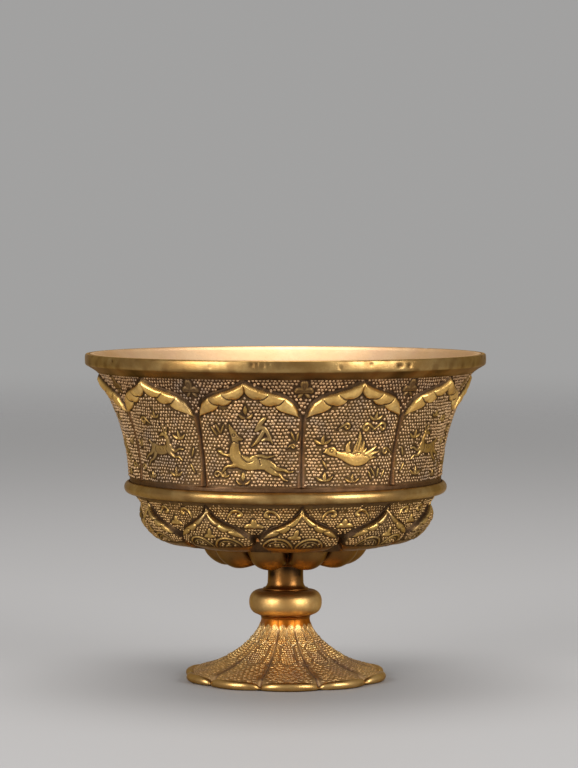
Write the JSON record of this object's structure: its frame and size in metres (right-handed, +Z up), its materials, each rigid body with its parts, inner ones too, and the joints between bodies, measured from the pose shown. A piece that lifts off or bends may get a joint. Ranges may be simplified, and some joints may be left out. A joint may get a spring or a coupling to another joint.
{
  "type": "stem cup",
  "caption": "Gilt metal stem cup with a ten-lobed chased bowl, a plain lining, a beaded stem and a scalloped hollow foot.",
  "frame": {"origin": "middle of the flat face that the foot stands on", "axes": "+Z up along the axis of the stem, -Y towards the front of the cup, +X to the viewer's right"},
  "size_m": [0.076, 0.076, 0.062],
  "materials": {
    "gilt_chased": "satin",
    "gilt_plain": "polished",
    "gilt_lining": "satin",
    "solder": "satin"
  },
  "bodies": {
    "root": {"outer_bowl": "gilt_chased", "lining": "gilt_lining", "lip_band": "gilt_plain", "waist_bead": "gilt_plain", "calyx": "gilt_plain", "stem_neck": "gilt_plain", "knop": "gilt_plain", "foot": "gilt_chased", "foot_edge": "gilt_plain", "calyx_solder": "solder", "neck_solder": "solder", "knop_top_solder": "solder", "knop_bottom_solder": "solder"}
  },
  "joints": []
}
